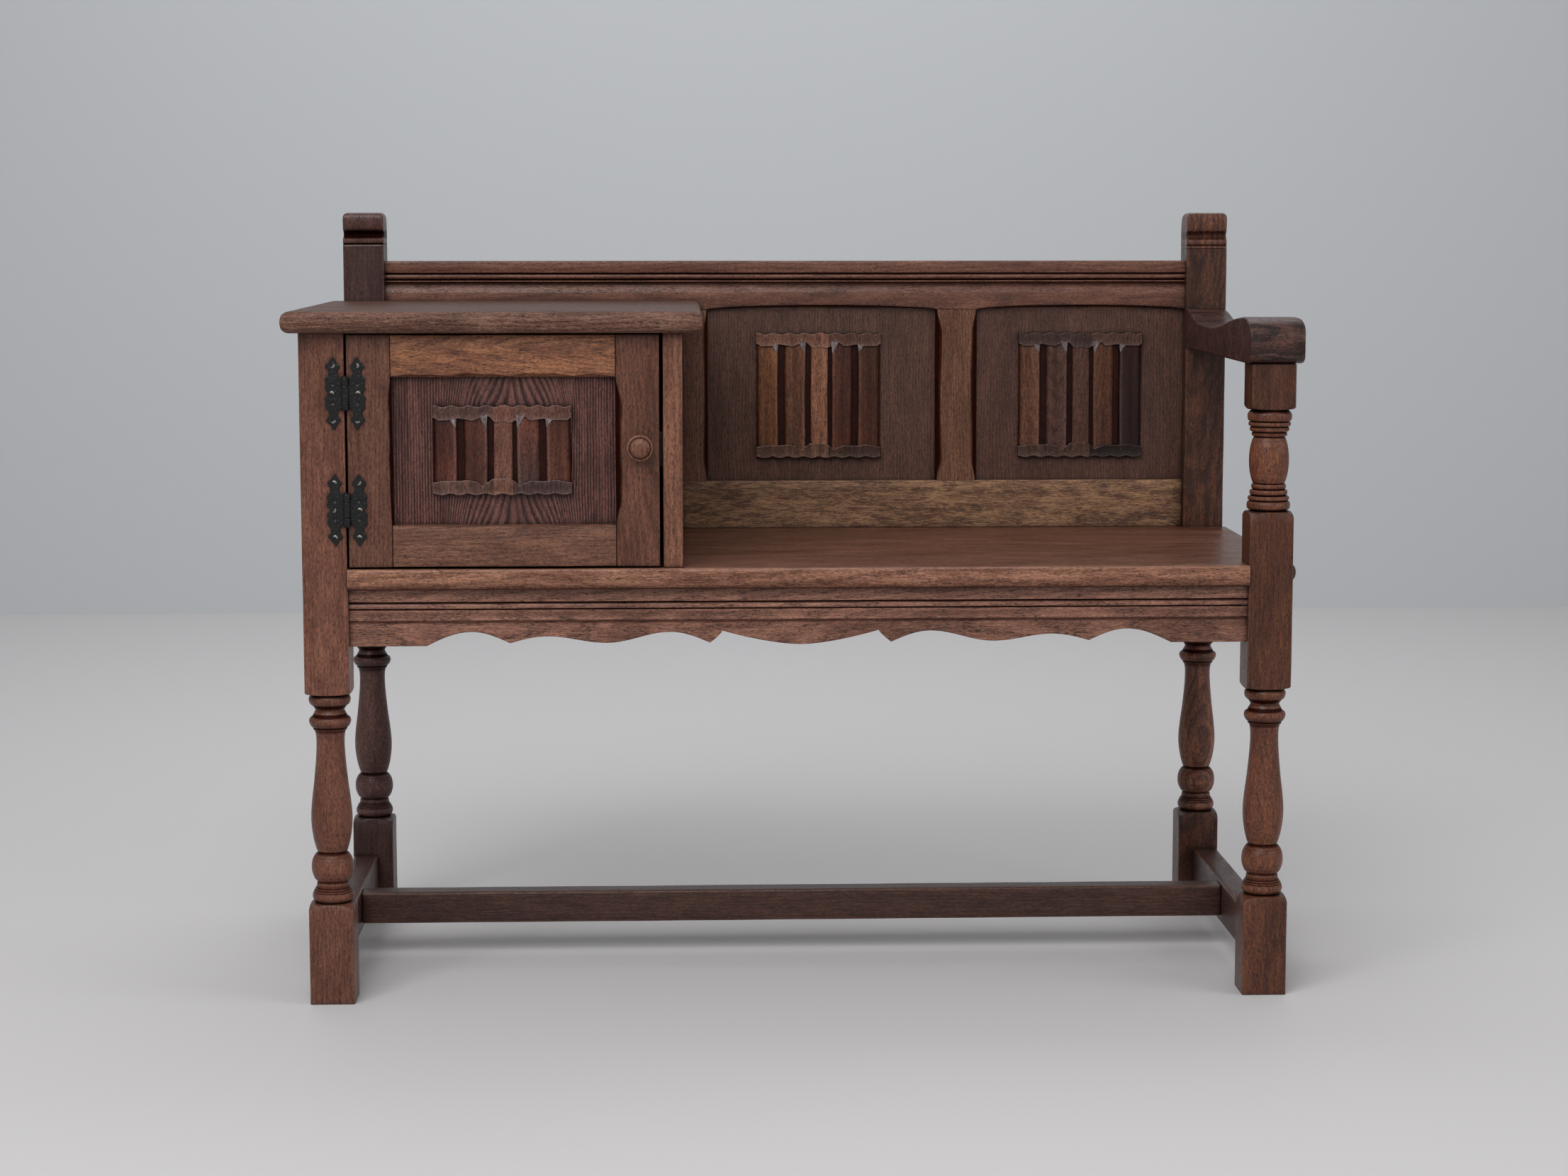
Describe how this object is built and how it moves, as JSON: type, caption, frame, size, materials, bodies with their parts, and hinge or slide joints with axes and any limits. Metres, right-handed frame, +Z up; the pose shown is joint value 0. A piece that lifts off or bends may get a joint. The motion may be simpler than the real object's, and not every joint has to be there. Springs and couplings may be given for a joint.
{
  "type": "telephone bench",
  "caption": "Oak telephone bench: seat with panelled back and armrest, cabinet with hinged door and writing top at the left end.",
  "frame": {"origin": "on the floor, under the middle of the bench's bounding box", "axes": "+Z up, the front faces -Y, the cabinet is at the -X end and the armrest at the +X end"},
  "size_m": [1.044, 0.469, 0.818],
  "materials": {
    "oak_frame": "dark stained oak, satin",
    "oak_stretchers": "very dark stained oak, satin",
    "oak_seat": "dark stained oak, polished by use",
    "oak_writing_top": "stained oak, satin",
    "oak_back_panels": "dark stained oak, satin",
    "oak_carvings": "carved oak with dark stain in the grooves",
    "oak_door": "stained oak, satin",
    "black_iron": "hammered black paint on iron",
    "zinc_steel": "dull zinc plating",
    "dark_button": "dark brown plastic",
    "black_plastic": "black plastic"
  },
  "bodies": {
    "frame": {"front_left_post": "oak_frame", "front_right_post": "oak_frame", "back_left_post": "oak_frame", "back_right_post": "oak_frame", "front_apron": "oak_frame", "back_apron": "oak_frame", "side_apron_left": "oak_frame", "side_apron_right": "oak_frame", "cabinet_side_left": "oak_frame", "cabinet_partition": "oak_frame", "armrest": "oak_frame", "back_top_rail": "oak_frame", "back_lower_rail": "oak_frame", "back_muntin_left": "oak_frame", "back_muntin_centre": "oak_frame", "side_stretcher_left": "oak_stretchers", "side_stretcher_right": "oak_stretchers", "mid_stretcher": "oak_stretchers", "seat_board": "oak_seat", "desk_top": "oak_writing_top", "back_panel_left": "oak_back_panels", "back_panel_middle": "oak_back_panels", "back_panel_right": "oak_back_panels", "back_carving_middle": "oak_carvings", "back_carving_right": "oak_carvings", "upper_hinge_post_leaf": "black_iron", "upper_hinge_pin": "black_iron", "lower_hinge_post_leaf": "black_iron", "lower_hinge_pin": "black_iron", "hinge_screw_post_1": "zinc_steel", "hinge_screw_post_2": "zinc_steel", "hinge_screw_post_3": "zinc_steel", "hinge_screw_post_4": "zinc_steel", "hinge_screw_post_5": "zinc_steel", "hinge_screw_post_6": "zinc_steel", "post_button": "dark_button", "door_catch": "black_plastic"},
    "door": {"door_stile_hinge": "oak_door", "door_stile_latch": "oak_door", "door_rail_top": "oak_door", "door_rail_bottom": "oak_door", "door_panel": "oak_door", "door_carving": "oak_carvings", "door_knob": "oak_door", "door_strike": "zinc_steel", "upper_hinge_door_leaf": "black_iron", "lower_hinge_door_leaf": "black_iron", "hinge_screw_door_1": "zinc_steel", "hinge_screw_door_2": "zinc_steel", "hinge_screw_door_3": "zinc_steel", "hinge_screw_door_4": "zinc_steel", "hinge_screw_door_5": "zinc_steel", "hinge_screw_door_6": "zinc_steel"}
  },
  "joints": [
    {"name": "door_hinge", "type": "hinge", "parent": "frame", "child": "door", "pos_m": [-0.459, -0.2195, 0.5755], "axis": [0, 0, -1], "range_deg": [0, 170]}
  ]
}
